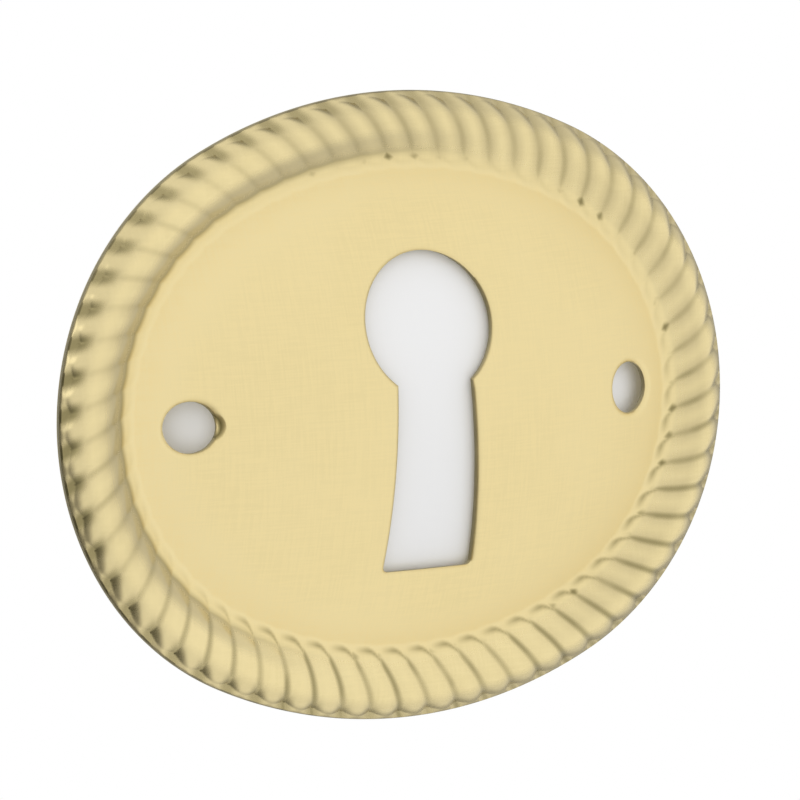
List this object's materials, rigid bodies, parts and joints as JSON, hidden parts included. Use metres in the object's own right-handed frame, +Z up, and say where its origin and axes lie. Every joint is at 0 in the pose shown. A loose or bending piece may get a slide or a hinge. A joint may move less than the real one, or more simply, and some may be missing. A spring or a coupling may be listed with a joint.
{
  "type": "keyhole escutcheon",
  "caption": "Oval pressed brass keyhole plate with a rope border, a shallow domed field, a round-headed keyhole and a fixing hole at each end.",
  "frame": {"origin": "middle of the oval, on the plane of the back rim that lies against the wood", "axes": "+X to the right seen from the front, +Z up with the keyhole's round head up, -Y out of the front face"},
  "size_m": [0.0446, 0.0053, 0.0364],
  "materials": {
    "brass": "satin"
  },
  "bodies": {
    "root": {"escutcheon_plate": "brass"}
  },
  "joints": []
}
